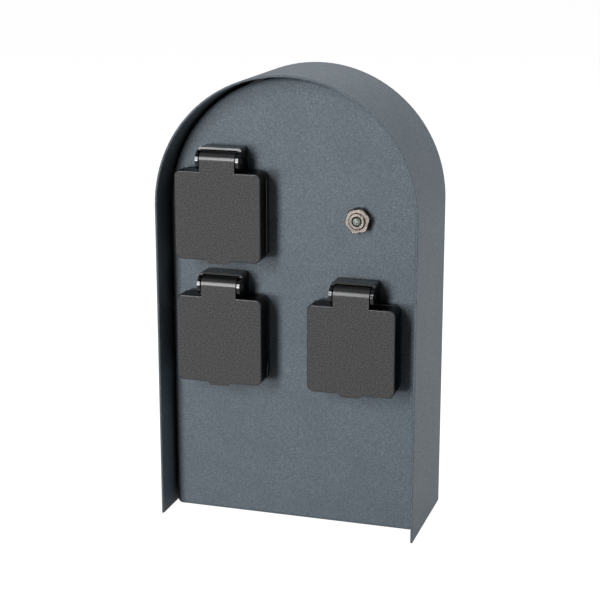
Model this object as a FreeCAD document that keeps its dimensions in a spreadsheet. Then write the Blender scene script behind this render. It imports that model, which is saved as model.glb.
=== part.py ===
import FreeCAD, Part
import math
import os
import Sketcher

Vector = FreeCAD.Vector

doc = FreeCAD.newDocument("garden_socket")
sizes = doc.addObject("Spreadsheet::Sheet", "sizes")

# Driving dimensions in millimetres
DIMENSIONS = [
    ("hood_width", 150, "arched hood, outside"),
    ("hood_height", 257.5, "ground to crown"),
    ("hood_depth", 68, "front edge to back edge"),
    ("hood_sheet", 1.2, "sheet of the arched band"),
    ("hood_edge", 0.4, "dressed front edges of the arched band"),
    ("back_sheet", 1.5, "sheet of the back plate"),
    ("back_recess", 2.5, "back plate inside the hood's back edge"),
    ("weld_gap", 0.1, "welded sheets, edge to face"),
    ("panel_setback", 16.7, "front tray behind the hood's front edge"),
    ("panel_sheet", 1.5, "sheet of the front tray"),
    ("panel_gap", 2, "front tray to the hood, all round"),
    ("panel_fold", 2.5, "outer radius of the tray's folded edge"),
    ("panel_corner", 3, "lower corners of the tray"),
    ("panel_flange", 14, "depth of the tray's folded rim"),
    ("column_offset", 38.25, "socket axis to the middle of the hood"),
    ("lower_row", 107.9, "lower socket axes above the ground"),
    ("row_pitch", 70.5, "lower to upper socket axis"),
    ("gasket_thickness", 1, "flange gasket"),
    ("gasket_inset", 0.6, "gasket inside the flange's outline"),
    ("flange_size", 50, "square socket flange"),
    ("flange_thickness", 4.4, "socket flange"),
    ("flange_corner", 5, "corners of the socket flange"),
    ("flange_edge", 0.6, "bevelled front edge of the socket flange"),
    ("screw_pitch", 38, "flange screws, square pattern"),
    ("screw_shank", 3.9, "flange screw"),
    ("screw_head", 7, "flange screw head"),
    ("screw_head_height", 2.2, "flange screw head"),
    ("screw_reach", 7, "flange screw behind the tray's face"),
    ("screw_clearance", 0.6, "screw in its clearance hole, on diameter"),
    ("thread_clearance", 0.1, "screw in its threaded hole, on diameter"),
    ("counterbore_play", 0.7, "screw head in its counterbore, on diameter"),
    ("counterbore_depth", 2.6, "recess for a flange screw head"),
    ("well_diameter", 39.2, "plug well"),
    ("well_depth", 17.5, "plug well"),
    ("insert_wall", 1.2, "wall of the plug well"),
    ("insert_clearance", 0.2, "plug well in the socket base, on radius"),
    ("collar_wall", 1.3, "collar round the plug well"),
    ("insert_rim", 1, "rim that seats the plug well behind the socket base"),
    ("insert_rim_depth", 1.6, "rim that seats the plug well behind the socket base"),
    ("cutout_clearance", 0.4, "rim of the plug well in the tray's cut-out, on radius"),
    ("contact_plate", 3, "floor of the plug well"),
    ("pin_spacing", 19, "plug pins"),
    ("pin_hole", 6, "holes for the plug pins"),
    ("rib_width", 4.6, "guide rib in the plug well"),
    ("rib_height", 2.6, "guide rib in the plug well"),
    ("rib_start", 4, "guide rib below the mouth of the well"),
    ("tower_width", 11, "contact tower behind the well"),
    ("tower_height", 16, "contact tower behind the well"),
    ("tower_depth", 16, "contact tower behind the well"),
    ("tower_wall", 1.1, "wall of a contact tower"),
    ("clip_width", 7, "earth clip strip"),
    ("clip_sheet", 0.8, "earth clip strip"),
    ("clip_inset", 0.8, "earth clip to the wall of the well"),
    ("clip_bulge", 1.8, "spring bulge of the earth clip"),
    ("clip_reach", 11, "earth clip above the floor of the well"),
    ("clip_slot_play", 0.4, "earth clip in its slot, each side"),
    ("seat_play", 0.2, "strip and contacts to the face they lie on"),
    ("contact_outside", 6.6, "square contact sleeve"),
    ("contact_sheet", 0.7, "square contact sleeve"),
    ("contact_length", 9, "square contact sleeve"),
    ("clamp_length", 5.5, "clamp block behind a contact sleeve"),
    ("clamp_height", 12, "clamp block behind a contact sleeve"),
    ("cover_wall", 1.5, "rear cover of a socket"),
    ("cover_play", 0.4, "rear cover to the contact towers"),
    ("cover_lap", 5, "rear cover over the contact towers"),
    ("cover_corner", 2, "rounded corners of the rear cover"),
    ("boss_diameter", 5.6, "screw boss of the rear cover"),
    ("centre_shank", 3, "centre screw"),
    ("centre_head", 5.4, "centre screw head"),
    ("centre_head_height", 1.6, "centre screw head"),
    ("centre_reach", 9, "centre screw in the rear cover's boss"),
    ("terminal_screw", 3.4, "screw of a contact clamp"),
    ("terminal_screw_length", 4, "screw of a contact clamp"),
    ("lid_width", 50, "lid"),
    ("lid_height", 49.7, "lid"),
    ("lid_depth", 10.6, "lid"),
    ("lid_wall", 1.8, "lid"),
    ("lid_top_corner", 3, "upper corners of the lid"),
    ("lid_bottom_corner", 4, "lower corners of the lid"),
    ("lid_edge", 0.7, "rounded front edge of the lid"),
    ("lid_seat_gap", 0.3, "lid rim to the socket flange"),
    ("tab_root", 14, "finger tab under the lid"),
    ("tab_tip", 10.5, "finger tab under the lid"),
    ("tab_drop", 1.7, "finger tab below the lid"),
    ("tab_thickness", 2.6, "finger tab"),
    ("seal_thickness", 1.9, "ring seal in the lid"),
    ("seal_width", 2, "ring seal in the lid"),
    ("seal_gap", 0.3, "ring seal to the collar"),
    ("hinge_rise", 5.85, "hinge axis above the lid's top edge"),
    ("knuckle_radius", 5.3, "rolled top of the lid's tongue"),
    ("knuckle_back", 2.2, "web behind the hinge axis"),
    ("relief_width", 17, "notch in the lid's top wall over the collar"),
    ("relief_clearance", 0.4, "lid's top wall to the collar as it swings"),
    ("tongue_width", 20.4, "tongue of the lid"),
    ("tongue_edge", 0.5, "rounded edges of the tongue"),
    ("tongue_gap", 0.7, "tongue to the hinge cheeks, each side"),
    ("cheek_thickness", 1.6, "hinge cheek"),
    ("cheek_radius", 5.5, "hinge cheek round the pin"),
    ("hinge_gap", 0.5, "knuckle to the hinge hood"),
    ("bridge_thickness", 1.1, "top of the hinge hood"),
    ("bridge_edge", 1.4, "rounded shoulders of the hinge hood"),
    ("hood_foot_gap", 0.2, "hinge hood to the tray's face"),
    ("hinge_pin", 3, "hinge pin diameter"),
    ("running_clearance", 0.05, "hinge pin in its bores, on radius"),
    ("spring_wire", 0.8, "closing spring"),
    ("spring_bore", 4.4, "inside of the closing spring"),
    ("spring_turns", 3, "turns of the closing spring"),
    ("spring_pitch", 1.5, "step of the closing spring per turn"),
    ("spring_room", 0.3, "closing spring to the slot in the knuckle"),
    ("spring_slot_width", 8, "slot for the spring in the knuckle"),
    ("spring_anchor", 1.4, "hole that holds the spring's rear leg"),
    ("spring_anchor_depth", 1.6, "hole that holds the spring's rear leg"),
    ("spring_leg_depth", 1, "rear leg in its hole"),
    ("hook_width", 20, "hook bracket"),
    ("hook_drop", 5, "hook bracket below the tray's rim"),
    ("hook_play", 0.5, "hook in the slot of the tray's rim"),
    ("hook_weld", 14, "leg of the hook bracket on the back plate"),
    ("hook_from_face", 7, "hook behind the tray's face"),
    ("floor_rise", 0.3, "bottom plate above the tray's rim"),
    ("floor_from_face", 5, "bottom plate behind the tray's face"),
    ("floor_side_gap", 1, "bottom plate to the hood and to the tray's rim"),
    ("floor_weld", 12, "leg of the bottom plate on the back plate"),
    ("drain_length", 24, "drain slots of the bottom plate"),
    ("drain_width", 5, "drain slots of the bottom plate"),
    ("drain_offset", 26, "drain slots from the middle"),
    ("floor_screw", 4, "screws under the tray"),
    ("floor_screw_head", 7.4, "screws under the tray"),
    ("floor_screw_length", 9, "screws under the tray"),
    ("floor_screw_offset", 52, "screws under the tray from the middle"),
    ("floor_screw_from_face", 9, "screws under the tray behind its face"),
    ("fixing_hole", 5.5, "wall fixing holes"),
    ("fixing_spacing_x", 100, "wall fixing holes"),
    ("fixing_spacing_z", 150, "wall fixing holes"),
    ("fixing_centre", 107, "wall fixing holes above the ground"),
    ("cable_bore", 10.5, "cable hole of the grommet"),
    ("cable_height", 38, "cable entry above the ground"),
    ("grommet_neck", 16, "grommet in the back plate"),
    ("grommet_flange", 22, "lips of the grommet"),
    ("grommet_lip", 1.6, "lips of the grommet"),
    ("grommet_nose", 5, "grommet inside the back plate"),
    ("neck_play", 0.1, "grommet in its hole, on radius"),
    ("clamp_width", 10, "cable clamp"),
    ("clamp_sheet", 1.5, "cable clamp"),
    ("clamp_bore", 11, "cable clamp"),
    ("clamp_ear", 9, "cable clamp ears"),
    ("clamp_rise", 28, "cable clamp above the cable entry"),
    ("clamp_screw", 4, "cable clamp screws"),
    ("clamp_screw_head", 7, "cable clamp screws"),
    ("block_width", 36, "supply terminal block"),
    ("block_depth", 18, "supply terminal block"),
    ("block_height", 22, "supply terminal block"),
    ("block_gap", 2, "supply terminal block to the ear of the cable clamp"),
    ("block_rise", 46, "supply terminal block above the ground"),
    ("block_pitch", 11, "poles of the supply terminal block"),
    ("block_wire_hole", 4, "wire entries of the terminal block"),
    ("block_wire_depth", 7, "wire entries of the terminal block"),
    ("block_screw_hole", 4.4, "screw wells of the terminal block"),
    ("block_screw_depth", 4, "screw wells of the terminal block"),
    ("stud_diameter", 5, "earth stud"),
    ("stud_length", 14, "earth stud"),
    ("stud_offset", -40, "earth stud from the middle"),
    ("stud_rise", 40, "earth stud above the ground"),
    ("stud_nut_size", 8, "nut of the earth stud, across flats"),
    ("stud_nut_height", 4, "nut of the earth stud"),
    ("stud_nut_lift", 3, "nut of the earth stud above the back plate"),
    ("lamp_hexagon", 13, "lamp bezel, across flats"),
    ("lamp_head_height", 4.2, "lamp bezel in front of its washer"),
    ("lamp_head_face", 13.6, "circle that the bezel's corners are turned down to"),
    ("lamp_head_chamfer", 0.6, "turned corners of the bezel"),
    ("lamp_head_edge", 0.3, "bevelled front edges of the bezel's flats"),
    ("lamp_turn", 13, "one corner of the bezel from level, in degrees"),
    ("lamp_boss", 9.6, "round boss on the bezel"),
    ("lamp_boss_height", 0.8, "round boss on the bezel"),
    ("lamp_boss_slope", 0.6, "turned slope round the boss"),
    ("lamp_thread", 8, "threaded neck of the bezel"),
    ("lamp_neck_length", 12, "threaded neck of the bezel"),
    ("lamp_bore", 5.8, "bore of the bezel"),
    ("lens_diameter", 4.3, "clear lens"),
    ("lens_length", 8, "clear lens"),
    ("lens_dome", 0.7, "clear lens in front of the boss"),
    ("lens_collar", 1.2, "foot of the clear lens"),
    ("lens_play", 0.1, "foot of the lens in the bezel, on radius"),
    ("washer_diameter", 14, "sealing washer of the lamp"),
    ("washer_thickness", 0.6, "sealing washer of the lamp"),
    ("lamp_nut_height", 4, "nut of the lamp"),
    ("lamp_body_diameter", 9.5, "lamp body behind the bezel"),
    ("lamp_body_length", 18, "lamp body behind the bezel"),
]


def fill_sheet():
    for row, (name, value, note) in enumerate(DIMENSIONS, start=1):
        sizes.set(f"A{row}", name)
        sizes.set(f"B{row}", str(value))
        sizes.setAlias(f"B{row}", name)
        sizes.set(f"C{row}", note)
    doc.recompute()


fill_sheet()


def dim(name):
    return f"sizes.{name}"


def number(expression):
    return float(sizes.evalExpression(expression))


# Places in the whole object: Y runs from front to back, Z up from the ground
hood_front = "(-sizes.hood_depth / 2)"
hood_back = "(sizes.hood_depth / 2)"
hood_leg = "(sizes.hood_height - sizes.hood_width / 2)"
hood_inside = "(sizes.hood_width / 2 - sizes.hood_sheet)"
panel_face = f"({hood_front} + sizes.panel_setback)"
panel_half = f"({hood_inside} - sizes.panel_gap)"
back_inner = f"({hood_back} - sizes.back_recess - sizes.back_sheet)"
back_outer = f"({hood_back} - sizes.back_recess)"
upper_row = "(sizes.lower_row + sizes.row_pitch)"

# Places on one socket: heights in front of the tray's face, and radii
flange_top = "(sizes.gasket_thickness + sizes.flange_thickness)"
lid_rim = f"({flange_top} + sizes.lid_seat_gap)"
lid_front = f"({lid_rim} + sizes.lid_depth)"
lid_ceiling = f"({lid_front} - sizes.lid_wall)"
axis_out = f"({lid_front} - sizes.knuckle_radius)"
axis_up = "(sizes.lid_height / 2 + sizes.hinge_rise)"
seal_face = f"({lid_ceiling} - sizes.seal_thickness)"
collar_front = f"({seal_face} - sizes.seal_gap)"
well_floor = f"({collar_front} - sizes.well_depth)"
plate_back = f"({well_floor} - sizes.contact_plate)"
tower_end = f"({plate_back} - sizes.tower_depth)"
well_radius = "(sizes.well_diameter / 2)"
insert_radius = f"({well_radius} + sizes.insert_wall)"
bore_radius = f"({insert_radius} + sizes.insert_clearance)"
collar_radius = f"({bore_radius} + sizes.collar_wall)"
cutout_radius = f"({insert_radius} + sizes.insert_rim + sizes.cutout_clearance)"
strip_face = f"({plate_back} - sizes.seat_play)"
strip_back = f"({strip_face} - sizes.clip_sheet)"
sleeve_end = f"({strip_face} - sizes.contact_length)"
clamp_end = f"({sleeve_end} - sizes.clamp_length)"
hinge_width = "(sizes.tongue_width + 2 * sizes.tongue_gap + 2 * sizes.cheek_thickness)"
hinge_opening = "(sizes.tongue_width + 2 * sizes.tongue_gap)"
hinge_bore = "(sizes.hinge_pin / 2 + sizes.running_clearance)"
hood_reach = "(sizes.knuckle_radius + sizes.hinge_gap)"
spring_radius = "((sizes.spring_bore + sizes.spring_wire) / 2)"
slot_reach = f"({spring_radius} + sizes.spring_wire / 2 + sizes.spring_room)"
spring_start = "(-sizes.spring_turns * sizes.spring_pitch / 2)"
bridge_top = f"({hood_reach} + sizes.bridge_thickness)"

SOCKETS = [
    ("upper_left", f"-{dim('column_offset')}", upper_row),
    ("lower_left", f"-{dim('column_offset')}", dim("lower_row")),
    ("lower_right", dim("column_offset"), dim("lower_row")),
]

finished = []


class Arc:
    """Round stretch of an outline: the centre it turns about and which way."""

    def __init__(self, centre_x, centre_y, anticlockwise=True):
        self.centre = (centre_x, centre_y)
        self.anticlockwise = anticlockwise


def new_body(label):
    body = doc.addObject("PartDesign::Body", label)
    body.Label = label
    finished.append(body)
    return body


def place(item, x="0", y="0", z="0"):
    for axis, expression in zip("xyz", (x, y, z)):
        item.setExpression(f"Placement.Base.{axis}", expression)


def place_on_panel(item, x, z):
    place(item, x, panel_face, z)


def new_sketch(body, plane, offset="0"):
    """Sketch on one of the body's own planes. The offset runs to the front on XZ, to the right on YZ."""
    sketch = body.newObject("Sketcher::SketchObject", "sketch")
    support = [item for item in body.Origin.OriginFeatures if item.Role == f"{plane}_Plane"]
    sketch.AttachmentSupport = (support[0], [""])
    sketch.MapMode = "FlatFace"
    sketch.setExpression("AttachmentOffset.Base.z", offset)
    return sketch


def fix_point(sketch, geometry, position, axis, expression):
    kind = f"Distance{axis.upper()}"
    constraint = Sketcher.Constraint(kind, -1, 1, geometry, position, number(expression))
    index = sketch.addConstraint(constraint)
    name = f"{axis}{index}"
    sketch.renameConstraint(index, name)
    sketch.setExpression(f"Constraints.{name}", expression)


def outline(sketch, *steps):
    """Closed outline through corners given as (x, y); an Arc between two corners makes that side round."""
    corners = [step for step in steps if not isinstance(step, Arc)]
    arcs = {}
    for index, step in enumerate(steps):
        if isinstance(step, Arc):
            before = sum(not isinstance(other, Arc) for other in steps[:index]) - 1
            arcs[before] = step
    points = [Vector(number(x), number(y), 0) for x, y in corners]
    count = len(corners)
    starts = []
    ends = []
    for side in range(count):
        first = points[side]
        second = points[(side + 1) % count]
        arc = arcs.get(side)
        if arc is None:
            geometry = sketch.addGeometry(Part.LineSegment(first, second), False)
            starts.append((geometry, 1))
            ends.append((geometry, 2))
            continue
        centre = Vector(number(arc.centre[0]), number(arc.centre[1]), 0)
        circle = Part.Circle(centre, Vector(0, 0, 1), (first - centre).Length)
        low, high = (first, second) if arc.anticlockwise else (second, first)
        start_angle = math.atan2(low.y - centre.y, low.x - centre.x)
        end_angle = math.atan2(high.y - centre.y, high.x - centre.x)
        geometry = sketch.addGeometry(Part.ArcOfCircle(circle, start_angle, end_angle), False)
        starts.append((geometry, 1 if arc.anticlockwise else 2))
        ends.append((geometry, 2 if arc.anticlockwise else 1))
        fix_point(sketch, geometry, 3, "x", arc.centre[0])
        fix_point(sketch, geometry, 3, "y", arc.centre[1])
    for side in range(count):
        joint = (side + 1) % count
        sketch.addConstraint(Sketcher.Constraint("Coincident", *ends[side], *starts[joint]))
    for side in range(count):
        axes = "xy"
        arc = arcs.get((side - 1) % count)
        if arc is not None:
            spoke = points[side] - Vector(number(arc.centre[0]), number(arc.centre[1]), 0)
            axes = "y" if abs(spoke.x) > abs(spoke.y) else "x"
        for axis in axes:
            fix_point(sketch, *starts[side], axis, corners[side]["xy".index(axis)])


def rectangle(sketch, left, bottom, right, top):
    outline(sketch, (left, bottom), (right, bottom), (right, top), (left, top))


def circle(sketch, x, y, radius):
    centre = Vector(number(x), number(y), 0)
    geometry = sketch.addGeometry(Part.Circle(centre, Vector(0, 0, 1), number(radius)), False)
    index = sketch.addConstraint(Sketcher.Constraint("Radius", geometry, number(radius)))
    sketch.renameConstraint(index, f"radius{index}")
    sketch.setExpression(f"Constraints.radius{index}", radius)
    fix_point(sketch, geometry, 3, "x", x)
    fix_point(sketch, geometry, 3, "y", y)


def square_of_circles(sketch, pitch, radius):
    for x in (f"-{pitch} / 2", f"{pitch} / 2"):
        for y in (f"-{pitch} / 2", f"{pitch} / 2"):
            circle(sketch, x, y, radius)


def add_feature(body, kind, sketch, length, backwards, both_ways):
    feature = body.newObject(f"PartDesign::{kind}", kind.lower())
    feature.Profile = sketch
    feature.Reversed = backwards
    feature.SideType = "Symmetric" if both_ways else "One side"
    if length is None:
        feature.Type = "ThroughAll"
    else:
        feature.setExpression("Length", length)
    doc.recompute()
    return feature


def pad(body, sketch, length, backwards=False, both_ways=False):
    """Adds the sketch's area, towards the sketch plane's front unless backwards."""
    return add_feature(body, "Pad", sketch, length, backwards, both_ways)


def pocket(body, sketch, length=None, forwards=False, both_ways=False):
    """Cuts the sketch's area, away from the sketch plane's front unless forwards, and shows that it cut."""
    before = body.Shape.Volume
    feature = add_feature(body, "Pocket", sketch, length, forwards, both_ways)
    if body.Shape.Volume >= before - 1e-6:
        raise RuntimeError(f"a pocket of {body.Label} cuts nothing")
    return feature


def revolve(body, kind, sketch):
    """Turns the sketch round its own horizontal axis, to add it or to cut it away."""
    turn = body.newObject(f"PartDesign::{kind}", kind.lower())
    turn.Profile = sketch
    turn.ReferenceAxis = (sketch, ["H_Axis"])
    doc.recompute()


def edge_names(shape, test):
    return [f"Edge{index}" for index, edge in enumerate(shape.Edges, start=1) if test(edge)]


def round_edges(body, radius, test):
    """Rounds the edges that the test picks."""
    base = body.Tip
    fillet = body.newObject("PartDesign::Fillet", "fillet")
    fillet.Base = (base, edge_names(base.Shape, test))
    fillet.setExpression("Radius", radius)
    doc.recompute()


def bevel_edges(body, width, test):
    """Bevels the edges that the test picks, at 45 degrees."""
    base = body.Tip
    bevel = body.newObject("PartDesign::Chamfer", "bevel")
    bevel.Base = (base, edge_names(base.Shape, test))
    bevel.setExpression("Size", width)
    doc.recompute()


def hollow(body, wall, opening_test):
    """Turns the solid into a shell that is open at the face the test picks."""
    base = body.Tip
    faces = [f"Face{i}" for i, face in enumerate(base.Shape.Faces, start=1) if opening_test(face)]
    shell = body.newObject("PartDesign::Thickness", "shell")
    shell.Base = (base, faces)
    shell.Reversed = True
    shell.Join = "Intersection"
    shell.setExpression("Value", wall)
    doc.recompute()
    return shell


def close(first, second):
    return abs(first - second) < 1e-4


def along(edge, axis):
    """True for a straight edge along the axis given as a letter."""
    if not isinstance(edge.Curve, Part.Line):
        return False
    return close(abs(getattr(edge.Curve.Direction, axis)), 1)


def lies_at(edge, axis, value):
    """True for an edge that lies whole in the plane at this coordinate."""
    name = axis.upper()
    box = edge.BoundBox
    return close(getattr(box, f"{name}Min"), value) and close(getattr(box, f"{name}Max"), value)


# Housing
def arch(sketch, half, leg, bottom):
    outline(sketch, (f"-{half}", bottom), (half, bottom), (half, leg), Arc("0", leg), (f"-{half}", leg))


def arched_hood():
    body = new_body("arched_hood")
    sketch = new_sketch(body, "XZ", hood_back)
    half = "(sizes.hood_width / 2)"
    outline(
        sketch,
        (f"-{half}", "0"), (f"-{hood_inside}", "0"), (f"-{hood_inside}", hood_leg),
        Arc("0", hood_leg, anticlockwise=False), (hood_inside, hood_leg), (hood_inside, "0"),
        (half, "0"), (half, hood_leg), Arc("0", hood_leg), (f"-{half}", hood_leg),
    )
    pad(body, sketch, dim("hood_depth"), backwards=True)
    front = number(hood_front)
    bevel_edges(body, dim("hood_edge"), lambda edge: lies_at(edge, "y", front) and edge.BoundBox.ZMax > 1)


def back_plate():
    body = new_body("back_plate")
    half = f"({hood_inside} - sizes.weld_gap)"
    sketch = new_sketch(body, "XZ", f"-{back_inner}")
    arch(sketch, half, hood_leg, "0")
    pad(body, sketch, dim("back_sheet"), backwards=True)
    holes = new_sketch(body, "XZ", f"-{back_inner}")
    for side in ("-", ""):
        for end in ("-", "+"):
            x = f"{side}sizes.fixing_spacing_x / 2"
            z = f"sizes.fixing_centre {end} sizes.fixing_spacing_z / 2"
            circle(holes, x, z, "sizes.fixing_hole / 2")
    circle(holes, "0", dim("cable_height"), "(sizes.grommet_neck / 2 + sizes.neck_play)")
    pocket(body, holes)


def front_panel():
    body = new_body("front_panel")
    face = number(panel_face)
    sketch = new_sketch(body, "XZ", f"-{panel_face}")
    arch(sketch, panel_half, hood_leg, "0")
    pad(body, sketch, dim("panel_flange"), backwards=True)
    round_edges(body, dim("panel_corner"), lambda edge: along(edge, "y") and close(edge.BoundBox.ZMax, 0))
    round_edges(body, dim("panel_fold"), lambda edge: lies_at(edge, "y", face))
    rear = number(f"{panel_face} + sizes.panel_flange")
    hollow(body, dim("panel_sheet"), lambda shape: close(shape.BoundBox.YMin, rear))
    holes = new_sketch(body, "XZ", f"-{panel_face}")
    for _, x, z in SOCKETS:
        circle(holes, x, z, cutout_radius)
        for side in ("-", "+"):
            for end in ("-", "+"):
                hole_x = f"{x} {side} sizes.screw_pitch / 2"
                hole_z = f"{z} {end} sizes.screw_pitch / 2"
                circle(holes, hole_x, hole_z, "(sizes.screw_shank + sizes.thread_clearance) / 2")
    circle(holes, dim("column_offset"), upper_row, "(sizes.lamp_thread + sizes.thread_clearance) / 2")
    pocket(body, holes, "2 * sizes.panel_sheet")
    slot = new_sketch(body, "XY", f"{hood_leg} + {hood_inside}")
    half = "(sizes.hook_width / 2 + sizes.hook_play)"
    near = f"({panel_face} + sizes.hook_from_face - sizes.hook_play)"
    far = f"({panel_face} + sizes.hook_from_face + sizes.panel_sheet + sizes.hook_play)"
    rectangle(slot, f"-{half}", near, half, far)
    pocket(body, slot, "4 * sizes.panel_sheet")
    for side in ("-", ""):
        sink = body.newObject("PartDesign::SubtractiveCone", "screw_sink")
        sink.setExpression("Radius1", "(sizes.floor_screw_head + sizes.thread_clearance) / 2")
        sink.setExpression("Radius2", "(sizes.floor_screw + sizes.thread_clearance) / 2")
        sink.setExpression("Height", dim("panel_sheet"))
        sink.setExpression("Placement.Base.x", f"{side}sizes.floor_screw_offset")
        sink.setExpression("Placement.Base.y", f"{panel_face} + sizes.floor_screw_from_face")
        doc.recompute()


def hook_bracket():
    body = new_body("hook_bracket")
    rim_top = f"({hood_leg} + {panel_half})"
    arm_top = f"({rim_top} - sizes.hook_drop)"
    arm_low = f"({arm_top} - sizes.panel_sheet)"
    tip = f"({rim_top} + sizes.panel_gap / 4)"
    hook_front = f"({panel_face} + sizes.hook_from_face)"
    hook_rear = f"({hook_front} + sizes.panel_sheet)"
    weld_front = f"({back_inner} - sizes.panel_sheet)"
    sketch = new_sketch(body, "YZ")
    outline(
        sketch,
        (hook_front, arm_low), (weld_front, arm_low), (weld_front, f"{arm_low} - sizes.hook_weld"),
        (back_inner, f"{arm_low} - sizes.hook_weld"), (back_inner, arm_top),
        (hook_rear, arm_top), (hook_rear, tip), (hook_front, tip),
    )
    pad(body, sketch, dim("hook_width"), both_ways=True)


def bottom_plate():
    body = new_body("bottom_plate")
    low = "(sizes.panel_sheet + sizes.floor_rise)"
    high = f"({low} + sizes.panel_sheet)"
    front = f"({panel_face} + sizes.floor_from_face)"
    weld_front = f"({back_inner} - sizes.panel_sheet)"
    sketch = new_sketch(body, "YZ")
    outline(
        sketch,
        (front, low), (back_inner, low), (back_inner, f"{high} + sizes.floor_weld"),
        (weld_front, f"{high} + sizes.floor_weld"), (weld_front, high), (front, high),
    )
    pad(body, sketch, f"2 * ({hood_inside} - sizes.floor_side_gap)", both_ways=True)
    holes = new_sketch(body, "XY", high)
    middle = f"(({front} + {back_inner}) / 2)"
    for side in ("-", ""):
        centre = f"{side}sizes.drain_offset"
        rectangle(
            holes,
            f"{centre} - sizes.drain_length / 2", f"{middle} - sizes.drain_width / 2",
            f"{centre} + sizes.drain_length / 2", f"{middle} + sizes.drain_width / 2",
        )
        circle(
            holes, f"{side}sizes.floor_screw_offset", f"{panel_face} + sizes.floor_screw_from_face",
            "(sizes.floor_screw + sizes.thread_clearance) / 2",
        )
    inside = f"({panel_half} - sizes.panel_sheet - sizes.floor_side_gap)"
    behind = f"({panel_face} + sizes.panel_flange + sizes.floor_side_gap)"
    rectangle(holes, f"-{hood_inside}", f"{front} - 1", f"-{inside}", behind)
    rectangle(holes, inside, f"{front} - 1", hood_inside, behind)
    pocket(body, holes)


def bottom_screws():
    body = new_body("bottom_screws")
    body.AllowCompound = True
    for side in ("-", ""):
        for kind, sizes_of_cone in (
            ("AdditiveCone", ("sizes.floor_screw_head / 2", "sizes.floor_screw / 2", dim("panel_sheet"))),
            ("AdditiveCylinder", ("sizes.floor_screw / 2", None, dim("floor_screw_length"))),
        ):
            item = body.newObject(f"PartDesign::{kind}", "screw")
            first, second, height = sizes_of_cone
            item.setExpression("Radius1" if second else "Radius", first)
            if second:
                item.setExpression("Radius2", second)
            item.setExpression("Height", height)
            item.setExpression("Placement.Base.x", f"{side}sizes.floor_screw_offset")
            item.setExpression("Placement.Base.y", f"{panel_face} + sizes.floor_screw_from_face")
            doc.recompute()


def cable_grommet():
    body = new_body("cable_grommet")
    place(body, "0", back_outer, dim("cable_height"))
    bore = "(sizes.cable_bore / 2)"
    neck = "(sizes.grommet_neck / 2)"
    lip = "(sizes.grommet_flange / 2)"
    inner = "(-sizes.back_sheet)"
    sketch = new_sketch(body, "YZ")
    outline(
        sketch,
        ("sizes.grommet_lip", bore), ("sizes.grommet_lip", neck), ("0", lip), ("0", neck),
        (inner, neck), (inner, lip), (f"{inner} - sizes.grommet_lip", lip),
        (f"{inner} - sizes.grommet_nose", f"({bore} + {neck}) / 2"),
        (f"{inner} - sizes.grommet_nose", bore),
    )
    revolve(body, "Revolution", sketch)


def cable_clamp():
    body = new_body("cable_clamp")
    place(body, "0", back_inner, "sizes.cable_height + sizes.clamp_rise")
    inner = "(sizes.clamp_bore / 2)"
    outer = f"({inner} + sizes.clamp_sheet)"
    ear = f"({outer} + sizes.clamp_ear)"
    deck = "(-sizes.clamp_sheet)"
    spring_line = f"(-{inner})"
    sketch = new_sketch(body, "XY")
    outline(
        sketch,
        (f"-{ear}", deck), (f"-{outer}", deck), (f"-{outer}", spring_line),
        Arc("0", spring_line), (outer, spring_line), (outer, deck), (ear, deck), (ear, "0"),
        (inner, "0"), (inner, spring_line),
        Arc("0", spring_line, anticlockwise=False), (f"-{inner}", spring_line), (f"-{inner}", "0"),
        (f"-{ear}", "0"),
    )
    pad(body, sketch, dim("clamp_width"), both_ways=True)
    holes = new_sketch(body, "XZ", f"-{deck}")
    for side in ("-", ""):
        middle = f"{side}({outer} + sizes.clamp_ear / 2)"
        circle(holes, middle, "0", "(sizes.clamp_screw + sizes.screw_clearance) / 2")
    pocket(body, holes)


def clamp_screws():
    body = new_body("clamp_screws")
    body.AllowCompound = True
    place(body, "0", back_inner, "sizes.cable_height + sizes.clamp_rise")
    outer = "(sizes.clamp_bore / 2 + sizes.clamp_sheet)"
    for radius, front, length in (
        ("sizes.clamp_screw_head / 2", dim("clamp_sheet"), "sizes.clamp_screw * 0.6"),
        ("sizes.clamp_screw / 2", "0", dim("clamp_sheet")),
    ):
        sketch = new_sketch(body, "XZ", front)
        for side in ("-", ""):
            circle(sketch, f"{side}({outer} + sizes.clamp_ear / 2)", "0", radius)
        pad(body, sketch, length)


def terminal_block():
    body = new_body("terminal_block")
    half = "(sizes.block_width / 2)"
    ear_end = "(sizes.clamp_bore / 2 + sizes.clamp_sheet + sizes.clamp_ear)"
    place(body, f"{ear_end} + sizes.block_gap + {half}", back_inner, dim("block_rise"))
    sketch = new_sketch(body, "XZ")
    rectangle(sketch, f"-{half}", "0", half, dim("block_height"))
    pad(body, sketch, dim("block_depth"))
    ends = new_sketch(body, "XY", dim("block_height"))
    wells = new_sketch(body, "XZ", dim("block_depth"))
    for pole in ("-sizes.block_pitch", "0", "sizes.block_pitch"):
        circle(ends, pole, "-sizes.block_depth / 2", "sizes.block_wire_hole / 2")
        circle(wells, pole, "sizes.block_height / 2", "sizes.block_screw_hole / 2")
    pocket(body, ends, dim("block_wire_depth"))
    pocket(body, wells, dim("block_screw_depth"))


def hexagon(sketch, across_flats, turn="0"):
    corners = []
    for step in range(6):
        angle = f"({turn} + {60 * step}) * 1deg"
        reach = f"({across_flats} / sqrt(3))"
        corners.append((f"{reach} * cos({angle})", f"{reach} * sin({angle})"))
    outline(sketch, *corners)


def earth_stud():
    body = new_body("earth_stud")
    body.AllowCompound = True
    place(body, dim("stud_offset"), back_inner, dim("stud_rise"))
    shank = new_sketch(body, "XZ")
    circle(shank, "0", "0", "sizes.stud_diameter / 2")
    pad(body, shank, dim("stud_length"))
    nut = new_sketch(body, "XZ", dim("stud_nut_lift"))
    hexagon(nut, dim("stud_nut_size"))
    pad(body, nut, dim("stud_nut_height"))


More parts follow.
